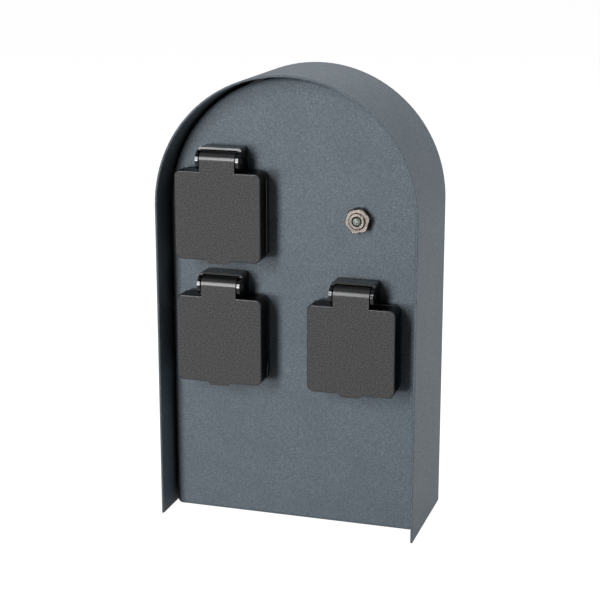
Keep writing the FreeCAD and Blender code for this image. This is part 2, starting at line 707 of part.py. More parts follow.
# Pilot lamp, in its own frame on the tray's face
def lamp_bezel():
    body = new_body("lamp_bezel")
    place_on_panel(body, dim("column_offset"), upper_row)
    seat = dim("washer_thickness")
    head = new_sketch(body, "XZ", seat)
    hexagon(head, dim("lamp_hexagon"), dim("lamp_turn"))
    pad(body, head, dim("lamp_head_height"))
    face = f"({seat} + sizes.lamp_head_height)"
    front = number(f"-{face}")
    bevel_edges(body, dim("lamp_head_edge"), lambda edge: lies_at(edge, "y", front))
    corners = new_sketch(body, "YZ")
    reach = "sizes.lamp_head_face / 2"
    outline(
        corners,
        (f"-{face}", reach), (f"-{face}", f"{reach} + sizes.lamp_head_chamfer * 2"),
        (f"-{face} + sizes.lamp_head_chamfer", f"{reach} + sizes.lamp_head_chamfer * 2"),
    )
    revolve(body, "Groove", corners)
    boss = new_sketch(body, "XZ", f"{seat} + sizes.lamp_head_height")
    circle(boss, "0", "0", "sizes.lamp_boss / 2")
    pad(body, boss, dim("lamp_boss_height"))
    boss_front = number(f"-{face} - sizes.lamp_boss_height")
    bevel_edges(body, dim("lamp_boss_slope"), lambda edge: lies_at(edge, "y", boss_front))
    neck = new_sketch(body, "XZ", seat)
    circle(neck, "0", "0", "sizes.lamp_thread / 2")
    pad(body, neck, dim("lamp_neck_length"), backwards=True)
    bore = new_sketch(body, "XZ", f"{seat} + sizes.lamp_head_height + sizes.lamp_boss_height")
    circle(bore, "0", "0", "sizes.lamp_bore / 2")
    pocket(body, bore)


def lamp_lens():
    body = new_body("lamp_lens")
    place_on_panel(body, dim("column_offset"), upper_row)
    front = "(sizes.washer_thickness + sizes.lamp_head_height + sizes.lamp_boss_height)"
    radius = "(sizes.lens_diameter / 2)"
    foot = "(sizes.lamp_bore / 2 - sizes.lens_play)"
    rear = f"({front} - sizes.lens_length)"
    bow = f"(({radius} ^ 2 + sizes.lens_dome ^ 2) / (2 * sizes.lens_dome))"
    sketch = new_sketch(body, "YZ")
    outline(
        sketch,
        (f"-({front} + sizes.lens_dome)", "0"),
        Arc(f"{bow} - ({front} + sizes.lens_dome)", "0", anticlockwise=False),
        (f"-{front}", radius), (f"-({rear} + sizes.lens_collar)", radius),
        (f"-({rear} + sizes.lens_collar)", foot), (f"-{rear}", foot), (f"-{rear}", "0"),
    )
    revolve(body, "Revolution", sketch)


def ring(label, x, z, front, length, outer, inner, hexagonal=False):
    """Flat ring, or a nut, in front of a plane of the lamp."""
    body = new_body(label)
    place_on_panel(body, x, z)
    sketch = new_sketch(body, "XZ", front)
    if hexagonal:
        hexagon(sketch, outer)
    else:
        circle(sketch, "0", "0", f"{outer} / 2")
    circle(sketch, "0", "0", f"{inner} / 2")
    pad(body, sketch, length)


def lamp_body():
    body = new_body("lamp_body")
    place_on_panel(body, dim("column_offset"), upper_row)
    front = "(sizes.washer_thickness - sizes.lamp_neck_length - sizes.seat_play)"
    sketch = new_sketch(body, "XZ", front)
    circle(sketch, "0", "0", "sizes.lamp_body_diameter / 2")
    pad(body, sketch, dim("lamp_body_length"), backwards=True)


def pilot_lamp():
    lamp_bezel()
    lamp_lens()
    at = (dim("column_offset"), upper_row)
    bore = "(sizes.lamp_thread + sizes.thread_clearance)"
    ring("lamp_washer", *at, "0", dim("washer_thickness"), dim("washer_diameter"), bore)
    nut_front = "-(sizes.panel_sheet + sizes.lamp_nut_height)"
    ring("lamp_nut", *at, nut_front, dim("lamp_nut_height"), dim("lamp_hexagon"), bore, hexagonal=True)
    lamp_body()


# One socket, in its own frame on the tray's face: the offsets of its XZ sketches are heights in front of it
def socket_base(name, x, z):
    body = new_body(f"socket_base_{name}")
    place_on_panel(body, x, z)
    half = "(sizes.flange_size / 2)"
    flange = new_sketch(body, "XZ", dim("gasket_thickness"))
    rectangle(flange, f"-{half}", f"-{half}", half, half)
    pad(body, flange, dim("flange_thickness"))
    round_edges(body, dim("flange_corner"), lambda edge: along(edge, "y"))
    top = number(f"-{flange_top}")
    bevel_edges(body, dim("flange_edge"), lambda edge: lies_at(edge, "y", top))

    hood = new_sketch(body, "YZ")
    foot = "(-sizes.hood_foot_gap)"
    root = f"({half} - sizes.flange_corner)"
    outline(
        hood,
        (foot, half), ("-sizes.gasket_thickness", half), ("-sizes.gasket_thickness", root),
        (f"-{flange_top}", root), (f"-{flange_top}", f"{axis_up} - sizes.cheek_radius"),
        (f"-{axis_out}", f"{axis_up} - sizes.cheek_radius"),
        Arc(f"-{axis_out}", axis_up, anticlockwise=False),
        (f"-{axis_out}", f"{axis_up} + sizes.cheek_radius"), (f"-{axis_out}", f"{axis_up} + {bridge_top}"),
        (foot, f"{axis_up} + {bridge_top}"),
    )
    pad(body, hood, hinge_width, both_ways=True)
    shoulder = number(f"{hinge_width} / 2")
    crown = number(f"{axis_up} + {bridge_top}") - 1e-3
    round_edges(
        body, dim("bridge_edge"),
        lambda edge: isinstance(edge.Curve, Part.Line) and close(abs(edge.CenterOfMass.x), shoulder)
        and edge.BoundBox.ZMin > crown and edge.BoundBox.YLength > 1,
    )
    room = new_sketch(body, "YZ")
    ahead = f"(-{axis_out} - 2 * {hood_reach})"
    behind = f"(-{axis_out} + {hood_reach})"
    outline(
        room,
        (behind, half), (behind, axis_up), Arc(f"-{axis_out}", axis_up),
        (f"-{axis_out}", f"{axis_up} + {hood_reach}"), (ahead, f"{axis_up} + {hood_reach}"), (ahead, half),
    )
    pocket(body, room, hinge_opening, both_ways=True)

    collar = new_sketch(body, "XZ", flange_top)
    circle(collar, "0", "0", collar_radius)
    pad(body, collar, f"{collar_front} - {flange_top}")
    bore = new_sketch(body, "XZ", collar_front)
    circle(bore, "0", "0", bore_radius)
    pocket(body, bore)
    holes = new_sketch(body, "XZ", flange_top)
    square_of_circles(holes, dim("screw_pitch"), "(sizes.screw_shank + sizes.screw_clearance) / 2")
    pocket(body, holes)
    recess = new_sketch(body, "XZ", flange_top)
    square_of_circles(recess, dim("screw_pitch"), "(sizes.screw_head + sizes.counterbore_play) / 2")
    pocket(body, recess, dim("counterbore_depth"))
    eyes = new_sketch(body, "YZ")
    circle(eyes, f"-{axis_out}", axis_up, hinge_bore)
    pocket(body, eyes, f"2 * {hinge_width}", both_ways=True)
    anchor = new_sketch(body, "XZ", f"{axis_out} - {hood_reach}")
    circle(anchor, spring_start, f"{axis_up} - {spring_radius}", "sizes.spring_anchor / 2")
    pocket(body, anchor, dim("spring_anchor_depth"))


def socket_insert(name, x, z):
    body = new_body(f"socket_insert_{name}")
    place_on_panel(body, x, z)
    cup = new_sketch(body, "XZ", collar_front)
    circle(cup, "0", "0", insert_radius)
    pad(body, cup, f"{collar_front} - {plate_back}", backwards=True)
    rim = new_sketch(body, "XZ", "sizes.gasket_thickness - sizes.seat_play")
    circle(rim, "0", "0", f"{insert_radius} + sizes.insert_rim")
    pad(body, rim, dim("insert_rim_depth"), backwards=True)
    well = new_sketch(body, "XZ", collar_front)
    circle(well, "0", "0", well_radius)
    pocket(body, well, dim("well_depth"))
    ribs = new_sketch(body, "XZ", well_floor)
    embed = f"({well_radius} + sizes.insert_wall / 2)"
    inner = f"({well_radius} - sizes.rib_height)"
    rectangle(ribs, f"-{embed}", "-sizes.rib_width / 2", f"-{inner}", "sizes.rib_width / 2")
    rectangle(ribs, inner, "-sizes.rib_width / 2", embed, "sizes.rib_width / 2")
    pad(body, ribs, "sizes.well_depth - sizes.rib_start")
    openings = new_sketch(body, "XZ", well_floor)
    circle(openings, "-sizes.pin_spacing / 2", "0", "sizes.pin_hole / 2")
    circle(openings, "sizes.pin_spacing / 2", "0", "sizes.pin_hole / 2")
    circle(openings, "0", "0", "(sizes.centre_shank + sizes.screw_clearance) / 2")
    side = "(sizes.clip_width / 2 + sizes.clip_slot_play)"
    outside = f"({clip_outside} + sizes.clip_slot_play)"
    inside = f"({clip_outside} - sizes.clip_sheet - sizes.clip_slot_play)"
    rectangle(openings, f"-{side}", inside, side, outside)
    rectangle(openings, f"-{side}", f"-{outside}", side, f"-{inside}")
    pocket(body, openings, "2 * sizes.contact_plate")
    towers = new_sketch(body, "XZ", plate_back)
    cells = new_sketch(body, "XZ", tower_end)
    for sign in ("-", ""):
        middle = f"({sign}sizes.pin_spacing / 2)"
        half_width = "sizes.tower_width / 2"
        half_height = "sizes.tower_height / 2"
        wall = "sizes.tower_wall"
        rectangle(
            towers, f"{middle} - {half_width}", f"-{half_height}", f"{middle} + {half_width}", half_height,
        )
        rectangle(
            cells, f"{middle} - {half_width} + {wall}", f"-{half_height} + {wall}",
            f"{middle} + {half_width} - {wall}", f"{half_height} - {wall}",
        )
    pad(body, towers, dim("tower_depth"), backwards=True)
    pocket(body, cells, dim("tower_depth"), forwards=True)


clip_outside = f"({well_radius} - sizes.clip_inset)"


def earth_clips(name, x, z):
    """One bent strip: its back lies behind the well's floor and its two arms stand in the well."""
    body = new_body(f"earth_clips_{name}")
    place_on_panel(body, x, z)
    sheet = dim("clip_sheet")
    arm = [
        (f"{well_floor} + sizes.clip_reach * 0.3", "0"),
        (f"{well_floor} + sizes.clip_reach * 0.7", "sizes.clip_bulge"),
        (f"{well_floor} + sizes.clip_reach", "sizes.clip_bulge * 0.3"),
    ]
    outer = [(strip_back, clip_outside)]
    inner = [(strip_face, f"{clip_outside} - {sheet}")]
    for height, inwards in arm:
        outer.append((height, f"{clip_outside} - {inwards}"))
        inner.append((height, f"{clip_outside} - {inwards} - {sheet}"))
    half = outer + inner[::-1]
    upper = [(f"-({height})", reach) for height, reach in half]
    lower = [(f"-({height})", f"-({reach})") for height, reach in half[::-1]]
    sketch = new_sketch(body, "YZ")
    outline(sketch, *upper, *lower)
    pad(body, sketch, dim("clip_width"), both_ways=True)
    hole = new_sketch(body, "XZ", strip_face)
    circle(hole, "0", "0", "(sizes.centre_shank + sizes.screw_clearance) / 2")
    pocket(body, hole, "2 * sizes.clip_sheet")


def line_contacts(name, x, z):
    body = new_body(f"line_contacts_{name}")
    body.AllowCompound = True
    place_on_panel(body, x, z)
    sleeves = new_sketch(body, "XZ", strip_face)
    clamps = new_sketch(body, "XZ", sleeve_end)
    screws = new_sketch(body, "XZ", clamp_end)
    outer = "sizes.contact_outside / 2"
    inner = "(sizes.contact_outside / 2 - sizes.contact_sheet)"
    for sign in ("-", ""):
        middle = f"({sign}sizes.pin_spacing / 2)"
        rectangle(sleeves, f"{middle} - {outer}", f"-{outer}", f"{middle} + {outer}", outer)
        rectangle(sleeves, f"{middle} - {inner}", f"-{inner}", f"{middle} + {inner}", inner)
        height = "sizes.clamp_height / 2"
        rectangle(clamps, f"{middle} - {outer}", f"-{height}", f"{middle} + {outer}", height)
        thread = "(sizes.terminal_screw + sizes.thread_clearance) / 2"
        circle(screws, middle, "sizes.clamp_height / 4", thread)
    pad(body, sleeves, dim("contact_length"), backwards=True)
    pad(body, clamps, dim("clamp_length"), backwards=True)
    pocket(body, screws, dim("terminal_screw_length"), forwards=True)


def rear_cover(name, x, z):
    body = new_body(f"rear_cover_{name}")
    place_on_panel(body, x, z)
    play = "(sizes.cover_play + sizes.cover_wall)"
    half_width = f"((sizes.pin_spacing + sizes.tower_width) / 2 + {play})"
    half_height = f"(sizes.tower_height / 2 + {play})"
    lip = f"({tower_end} + sizes.cover_lap)"
    plate = f"({tower_end} - sizes.cover_play)"
    shell = new_sketch(body, "XZ", lip)
    rectangle(shell, f"-{half_width}", f"-{half_height}", half_width, half_height)
    pad(body, shell, f"{lip} - {plate} + sizes.cover_wall", backwards=True)
    round_edges(body, dim("cover_corner"), lambda edge: along(edge, "y"))
    cavity = new_sketch(body, "XZ", lip)
    wall = "sizes.cover_wall"
    rectangle(
        cavity, f"-{half_width} + {wall}", f"-{half_height} + {wall}",
        f"{half_width} - {wall}", f"{half_height} - {wall}",
    )
    pocket(body, cavity, f"{lip} - {plate}")
    boss = new_sketch(body, "XZ", plate)
    circle(boss, "0", "0", "sizes.boss_diameter / 2")
    pad(body, boss, f"{strip_back} - sizes.seat_play - {plate}")
    thread = new_sketch(body, "XZ", strip_back)
    circle(thread, "0", "0", "(sizes.centre_shank + sizes.thread_clearance) / 2")
    pocket(body, thread, "sizes.centre_reach + sizes.seat_play * 2")
    exits = new_sketch(body, "XZ", lip)
    half_exit = "sizes.terminal_screw / 2"
    for middle in ("-sizes.pin_spacing / 2", "0", "sizes.pin_spacing / 2"):
        rectangle(
            exits, f"{middle} - {half_exit}", f"-2 * {half_height}",
            f"{middle} + {half_exit}", f"-{half_height} / 2 - {half_exit}",
        )
    pocket(body, exits, "sizes.cover_lap * 0.8")


def lid(name, x, z):
    body = new_body(f"lid_{name}")
    place_on_panel(body, x, z)
    half_width = "(sizes.lid_width / 2)"
    half_height = "(sizes.lid_height / 2)"
    shell = new_sketch(body, "XZ", lid_rim)
    rectangle(shell, f"-{half_width}", f"-{half_height}", half_width, half_height)
    pad(body, shell, dim("lid_depth"))
    side = number(half_width)
    round_edges(body, dim("lid_top_corner"), lambda edge: along(edge, "y") and edge.CenterOfMass.z > 0)
    round_edges(
        body, dim("lid_bottom_corner"),
        lambda edge: along(edge, "y") and edge.CenterOfMass.z < 0 and close(abs(edge.CenterOfMass.x), side),
    )
    rim = number(f"-{lid_rim}")
    hollow(body, dim("lid_wall"), lambda face: close(face.BoundBox.YMin, rim))
    front = number(f"-{lid_front}")
    round_edges(body, dim("lid_edge"), lambda edge: lies_at(edge, "y", front))

    tongue = new_sketch(body, "YZ")
    web = f"(-{axis_out} + sizes.knuckle_back)"
    web_top = f"({axis_up} - sqrt(sizes.knuckle_radius ^ 2 - sizes.knuckle_back ^ 2))"
    root = f"({half_height} - sizes.lid_wall)"
    outline(
        tongue,
        (web, root), (f"-{lid_front}", root), (f"-{lid_front}", axis_up),
        Arc(f"-{axis_out}", axis_up, anticlockwise=False), (web, web_top),
    )
    pad(body, tongue, dim("tongue_width"), both_ways=True)
    slot = new_sketch(body, "YZ")
    rear = f"(-{axis_out} + 2 * sizes.knuckle_radius)"
    high = f"({axis_up} + 2 * sizes.knuckle_radius)"
    outline(
        slot,
        (f"-{axis_out} - {slot_reach}", f"{axis_up} - {slot_reach}"), (rear, f"{axis_up} - {slot_reach}"),
        (rear, high), (f"-{axis_out}", high), (f"-{axis_out}", f"{axis_up} + {slot_reach}"),
        (f"-{axis_out} - {slot_reach}", f"{axis_up} + {slot_reach}"),
    )
    pocket(body, slot, dim("spring_slot_width"), both_ways=True)
    relief = new_sketch(body, "XZ", lid_rim)
    swing = f"({axis_up} - {collar_radius} - sizes.relief_clearance)"
    drop = "(sizes.hinge_rise + sizes.lid_wall)"
    rectangle(
        relief, "-sizes.relief_width / 2", f"{half_height} - 2 * sizes.lid_wall", "sizes.relief_width / 2",
        f"{half_height} + sizes.lid_wall",
    )
    pocket(body, relief, f"{axis_out} - {lid_rim} - sqrt({swing} ^ 2 - {drop} ^ 2)", forwards=True)
    eye = new_sketch(body, "YZ")
    circle(eye, f"-{axis_out}", axis_up, hinge_bore)
    pocket(body, eye, f"2 * {dim('tongue_width')}", both_ways=True)
    tab = new_sketch(body, "XZ", lid_front)
    outline(
        tab,
        ("-sizes.tab_root / 2", f"-{half_height} + sizes.lid_edge"),
        ("-sizes.tab_root / 2", f"-{half_height}"),
        ("-sizes.tab_tip / 2", f"-{half_height} - sizes.tab_drop"),
        ("sizes.tab_tip / 2", f"-{half_height} - sizes.tab_drop"),
        ("sizes.tab_root / 2", f"-{half_height}"),
        ("sizes.tab_root / 2", f"-{half_height} + sizes.lid_edge"),
    )
    pad(body, tab, dim("tab_thickness"), backwards=True)


def lid_seal(name, x, z):
    middle = f"(({collar_radius} + {well_radius}) / 2)"
    outer = f"(2 * {middle} + sizes.seal_width)"
    inner = f"(2 * {middle} - sizes.seal_width)"
    ring(f"lid_seal_{name}", x, z, seal_face, dim("seal_thickness"), outer, inner)


def hinge_pin(name, x, z):
    body = new_body(f"hinge_pin_{name}")
    place_on_panel(body, x, z)
    sketch = new_sketch(body, "YZ")
    circle(sketch, f"-{axis_out}", axis_up, "sizes.hinge_pin / 2")
    pad(body, sketch, hinge_width, both_ways=True)


def flange_gasket(name, x, z):
    body = new_body(f"flange_gasket_{name}")
    place_on_panel(body, x, z)
    half = "(sizes.flange_size / 2 - sizes.gasket_inset)"
    sketch = new_sketch(body, "XZ")
    rectangle(sketch, f"-{half}", f"-{half}", half, half)
    pad(body, sketch, dim("gasket_thickness"))
    round_edges(body, "sizes.flange_corner - sizes.gasket_inset", lambda edge: along(edge, "y"))
    holes = new_sketch(body, "XZ", dim("gasket_thickness"))
    circle(holes, "0", "0", cutout_radius)
    square_of_circles(holes, dim("screw_pitch"), "(sizes.screw_shank + sizes.screw_clearance) / 2")
    pocket(body, holes)


def screw_group(label, x, z, stations, head_radius, head_front, head_height, shank_radius, shank_end):
    """Screws seen from the front: heads down from head_front, shanks down to shank_end."""
    body = new_body(label)
    body.AllowCompound = True
    place_on_panel(body, x, z)
    heads = new_sketch(body, "XZ", head_front)
    shanks = new_sketch(body, "XZ", f"{head_front} - {head_height}")
    for station_x, station_z in stations:
        circle(heads, station_x, station_z, head_radius)
        circle(shanks, station_x, station_z, shank_radius)
    pad(body, heads, head_height, backwards=True)
    pad(body, shanks, f"{head_front} - {head_height} - {shank_end}", backwards=True)
    return body


def join(label, bodies):
    """One node of several separate solids."""
    group = doc.addObject("Part::Compound", label)
    group.Label = label
    group.Links = bodies
    for body in bodies:
        finished.remove(body)
    finished.append(group)


def flange_screws():
    half = "sizes.screw_pitch / 2"
    stations = [(f"{a}{half}", f"{b}{half}") for a in ("-", "") for b in ("-", "")]
    bodies = []
    for name, x, z in SOCKETS:
        seat = f"({flange_top} - sizes.counterbore_depth)"
        bodies.append(screw_group(
            f"flange_screws_{name}", x, z, stations, "sizes.screw_head / 2",
            f"({seat} + sizes.screw_head_height)", dim("screw_head_height"),
            "sizes.screw_shank / 2", "(-sizes.screw_reach)",
        ))
    join("flange_screws", bodies)


def centre_screws():
    bodies = []
    for name, x, z in SOCKETS:
        bodies.append(screw_group(
            f"centre_screws_{name}", x, z, [("0", "0")], "sizes.centre_head / 2",
            f"({well_floor} + sizes.centre_head_height)", dim("centre_head_height"),
            "sizes.centre_shank / 2", f"({strip_back} - sizes.centre_reach)",
        ))
    join("centre_screws", bodies)


def terminal_screws():
    bodies = []
    for name, x, z in SOCKETS:
        body = new_body(f"terminal_screws_{name}")
        body.AllowCompound = True
        place_on_panel(body, x, z)
        sketch = new_sketch(body, "XZ", clamp_end)
        for sign in ("-", ""):
            middle = f"({sign}sizes.pin_spacing / 2)"
            circle(sketch, middle, "sizes.clamp_height / 4", "sizes.terminal_screw / 2")
        pad(body, sketch, "sizes.terminal_screw_length - sizes.seat_play")
        bodies.append(body)
    join("terminal_screws", bodies)


# Closing spring
def tangent_arcs(start, start_way, end, end_way):
    """Two arcs from start to end that leave and arrive along the given unit directions."""
    gap = end - start
    ways = start_way + end_way
    square = 2 * (1 - start_way.dot(end_way))
    along_gap = gap.dot(ways)
    leg = (math.sqrt(along_gap ** 2 + square * gap.dot(gap)) - along_gap) / square
    first = start + start_way * leg
    second = end - end_way * leg
    joint = (first + second) * 0.5
    return [round_corner(start, first, joint), round_corner(joint, second, end)]


def round_corner(start, corner, end):
    """Arc that touches both legs of a corner at their far ends."""
    to_start = (start - corner).normalize()
    to_end = (end - corner).normalize()
    half = to_start.getAngle(to_end) / 2
    radius = (start - corner).Length * math.tan(half)
    inwards = (to_start + to_end).normalize()
    middle = corner + inwards * (radius / math.sin(half) - radius)
    return Part.Arc(start, middle, end).toShape()


def spring_shape():
    """Torsion spring round the X axis: rear leg in the hinge hood, front leg in the knuckle's slot."""
    wire = number(dim("spring_wire"))
    radius = number(spring_radius)
    pitch = number(dim("spring_pitch"))
    quarters = int(4 * number(dim("spring_turns")))
    start_x = number(spring_start)

    def station(quarter):
        angle = quarter * math.pi / 2
        point = Vector(start_x + quarter / 4 * pitch, -radius * math.sin(angle), -radius * math.cos(angle))
        step = 0 if quarter in (0, quarters) else pitch / (2 * math.pi)
        way = Vector(step, -radius * math.cos(angle), radius * math.sin(angle))
        return point, way.normalize()

    coil = []
    for quarter in range(quarters):
        coil += tangent_arcs(*station(quarter), *station(quarter + 1))
    first, first_way = station(0)
    last, last_way = station(quarters)
    rear_leg = number(f"{hood_reach} + sizes.spring_leg_depth")
    front_leg = number(f"{slot_reach} - sizes.spring_room")
    tip = first - first_way * rear_leg
    edges = [Part.makeLine(tip, first)] + coil + [Part.makeLine(last, last + last_way * front_leg)]
    section = Part.makeCircle(wire / 2, tip, first_way).discretize(9)
    profile = Part.makePolygon(section)
    sweep = Part.Wire(edges).makePipeShell([profile], True, False)
    points = Part.Wire(coil).discretize(40 * quarters)
    gaps = [
        (points[i] - points[j]).Length
        for i in range(len(points)) for j in range(i + 80, len(points))
    ]
    return sweep, min(gaps) - wire


def lid_springs():
    bodies = []
    shape, gap = spring_shape()
    print(f"least gap between turns of a closing spring: {gap:.2f} mm")
    for name, x, z in SOCKETS:
        spring = doc.addObject("Part::Feature", f"lid_spring_{name}")
        spring.Shape = shape
        finished.append(spring)
        place(spring, x, f"{panel_face} - {axis_out}", f"{z} + {axis_up}")
        bodies.append(spring)
    join("lid_springs", bodies)


def build():
    arched_hood()
    back_plate()
    front_panel()
    hook_bracket()
    bottom_plate()
    bottom_screws()
    cable_grommet()
    cable_clamp()
    clamp_screws()
    terminal_block()
    earth_stud()
    pilot_lamp()
    for socket in SOCKETS:
        flange_gasket(*socket)
        socket_base(*socket)
        socket_insert(*socket)
        earth_clips(*socket)
        line_contacts(*socket)
        rear_cover(*socket)
        hinge_pin(*socket)
        lid(*socket)
        lid_seal(*socket)
    flange_screws()
    centre_screws()
    terminal_screws()
    lid_springs()
    doc.recompute()


def check():
    for item in doc.Objects:
        if "Invalid" in item.State or "Error" in item.State:
            raise RuntimeError(f"{item.Label} failed: {item.State}")
    for item in finished:
        if item.Shape.isNull() or not item.Shape.isValid():
            raise RuntimeError(f"{item.Label} has no valid shape")


def write():
    os.makedirs("parts", exist_ok=True)
    for item in finished:
        item.Shape.exportStep(os.path.join("parts", f"{item.Label}.step"))
    print(f"{len(finished)} nodes written")


build()
check()
write()
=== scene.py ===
"""Finishes, light and camera for a garden power post with three sprung socket lids."""

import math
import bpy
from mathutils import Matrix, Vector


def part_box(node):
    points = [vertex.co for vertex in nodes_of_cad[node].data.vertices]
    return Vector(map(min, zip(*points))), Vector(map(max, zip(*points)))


bl_info = {
    "name": "Garden Socket",
    "version": (1, 0, 0),
    "blender": (4, 5, 0),
    "location": "View3D > Sidebar > Garden Socket",
    "description": "Finishes a garden power post with three sprung lids and sets it in soft studio light",
    "category": "Object",
}

import bpy
from bpy.props import FloatProperty, FloatVectorProperty, PointerProperty
from mathutils import Vector

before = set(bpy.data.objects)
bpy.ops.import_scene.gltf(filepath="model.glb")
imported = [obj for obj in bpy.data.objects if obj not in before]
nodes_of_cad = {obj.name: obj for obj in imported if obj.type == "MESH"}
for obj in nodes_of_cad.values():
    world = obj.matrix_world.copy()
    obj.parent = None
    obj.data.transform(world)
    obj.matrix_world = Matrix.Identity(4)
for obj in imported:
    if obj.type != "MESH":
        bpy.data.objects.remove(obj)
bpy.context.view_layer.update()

MM = 0.001
SOCKETS = ("upper_left", "lower_left", "lower_right")

# Inputs of a Mix node for colours
FACTOR, COLOUR_A, COLOUR_B = 0, 6, 7
# Inputs of a Map Range node
FROM_MIN, FROM_MAX, TO_MIN, TO_MAX = 1, 2, 3, 4

POLYESTER_IOR = 1.5
POLYAMIDE_IOR = 1.53
EPOXY_IOR = 1.54

CAMERA_PLACE = (0.2576, -0.8327, 0.3557)
CAMERA_LOOKS_DOWN = math.radians(14.77)
CAMERA_STANDS_RIGHT = math.radians(17.25)
CAMERA_SENSOR = 36
CAMERA_REACH = 20

FLOOR_SIZE = 12
FLOOR_WHITE = 0.95
# The room changes from its front to its back between these Y values
ROOM_FRONT = -0.1
ROOM_BACK = 0.35
# Glossy surfaces see the room grow brighter towards this side, until the dot product with it is BRIGHT_FROM
BRIGHT_SIDE = (0.45, 0.6, 0.66)
BRIGHT_FROM = 0.6


def linear(code):
    """Linear colour, with alpha, of an sRGB hex code."""
    channels = [int(code[i:i + 2], 16) / 255 for i in (1, 3, 5)]
    return [c / 12.92 if c <= 0.04045 else ((c + 0.055) / 1.055) ** 2.4 for c in channels] + [1.0]


def every(distance):
    """Scale of a pattern whose features are this many millimetres apart."""
    return 1 / (distance * MM)


def colour(name, code, description):
    return FloatVectorProperty(
        name=name, description=description, subtype="COLOR", size=4, min=0, max=1, default=linear(code),
    )


def millimetres(name, value, description):
    return FloatProperty(
        name=name, description=description, subtype="DISTANCE", unit="LENGTH", min=0, default=value * MM,
        precision=5,
    )


def light_power(name, value, description):
    return FloatProperty(name=name, description=description, unit="POWER", min=0, default=value)


def share(name, value, description):
    return FloatProperty(name=name, description=description, subtype="FACTOR", min=0, max=1, default=value)


class HousingFinish(bpy.types.PropertyGroup):
    """Colours and grain of the sheet-metal housing"""

    coat: colour("Powder coat", "#727c84", "Blue-grey anthracite of the sheet-metal hood and tray")
    coat_dark: colour("Powder coat, dark grain", "#59636b", "Valleys of the powder coat's grain")
    coat_light: colour("Powder coat, specks", "#98a2a8", "Scattered light specks in the powder coat")
    grain: millimetres("Coat grain", 0.9, "Distance between the grains of the fine-textured powder coat")
    relief: millimetres("Coat relief", 0.08, "Height of the powder coat's grain")
    gloss: share("Coat gloss", 0.18, "Strength of the powder coat's mirror share, seen straight on")
    zinc: colour("Zinc", "#a9abab", "Bright zinc on the hidden sheets and screws")
    zinc_dull: colour("Zinc, dull", "#8e9293", "Duller crystals of the zinc on the sheets")


class LidFinish(bpy.types.PropertyGroup):
    """Colours and grain of the lids and of the smooth socket bases"""

    face: colour("Lid plastic", "#151516", "Slightly warm dark grey of the lids' grained fronts")
    face_light: colour("Lid plastic, raised grain", "#4b4b4d", "Raised points of the lids' grain")
    # Painted highlight: a lighter colour on the rounded front edges and rolled top stands in for the glint of the
    # light on them
    edge: colour("Lid plastic, edge", "#323234", "Rounded front edges and rolled top, duller than the sides")
    grain: millimetres("Lid grain", 0.8, "Distance between the points of the spark-eroded grain")
    relief: millimetres("Lid relief", 0.11, "Height of the spark-eroded grain")
    smooth: colour("Smooth plastic", "#09090a", "Sides and hinges, moulded smooth")
    smooth_light: colour("Smooth plastic, light", "#111112", "Faint lighter flow in the smooth plastic")


class LampFinish(bpy.types.PropertyGroup):
    """Colours of the pilot lamp"""

    nickel: colour("Nickel plating", "#7e7771", "Warm nickel on the turned hexagon")
    nickel_dull: colour("Nickel plating, dull", "#5a534f", "Duller patches of the nickel")
    lens: colour("Lens", "#e6ebe4", "Clear epoxy with a slight green tone")
    milk: colour("Lens, milky flow", "#aeb6ac", "Milky flow marks in the clear epoxy")
    haze: share("Haze", 0.9, "Share of the lens that scatters light as milky plastic does")


class Studio(bpy.types.PropertyGroup):
    """Lights, room and lens of the studio"""

    key_power: light_power("Key light", 26, "Tall soft light from the front left")
    low_power: light_power("Low light", 7, "Strip near the ground at the front left")
    side_power: light_power("Side light", 6.2, "Wide soft light from the right")
    edge_power: light_power("Edge light", 0.6, "Small light that draws the bright edges")
    top_power: light_power("Top light", 7, "Soft light from above and behind")
    fill_front: share("Fill in front", 0.0, "Even light from the room in front of the object")
    fill_behind: share("Fill behind", 0.25, "Even light from the room behind the object")
    mirror_front: share("Mirrored front", 0.03, "Brightness of the room in front, as glossy surfaces show it")
    mirror_behind: share("Mirrored back", 0.65, "Brightness of the room behind, as glossy surfaces show it")
    mirror_floor: share("Mirrored floor", 0.6, "Brightness of the floor in front, as glossy surfaces show it")
    lens: FloatProperty(name="Focal length", description="Camera lens in millimetres", min=1, default=94.8)


def add(tree, kind, inputs=None, **settings):
    """Adds a shader node: settings are its attributes, and inputs are values, nodes or outputs of nodes."""
    node = tree.nodes.new("ShaderNode" + kind)
    for name, value in settings.items():
        setattr(node, name, value)
    for socket, value in (inputs or {}).items():
        if isinstance(value, bpy.types.Node):
            value = next(output for output in value.outputs if output.enabled)
        if isinstance(value, bpy.types.NodeSocket):
            tree.links.new(value, node.inputs[socket])
        else:
            node.inputs[socket].default_value = value
    return node


def new_material(name):
    material = bpy.data.materials.new(name)
    material.use_nodes = True
    material.node_tree.nodes.clear()
    return material, material.node_tree


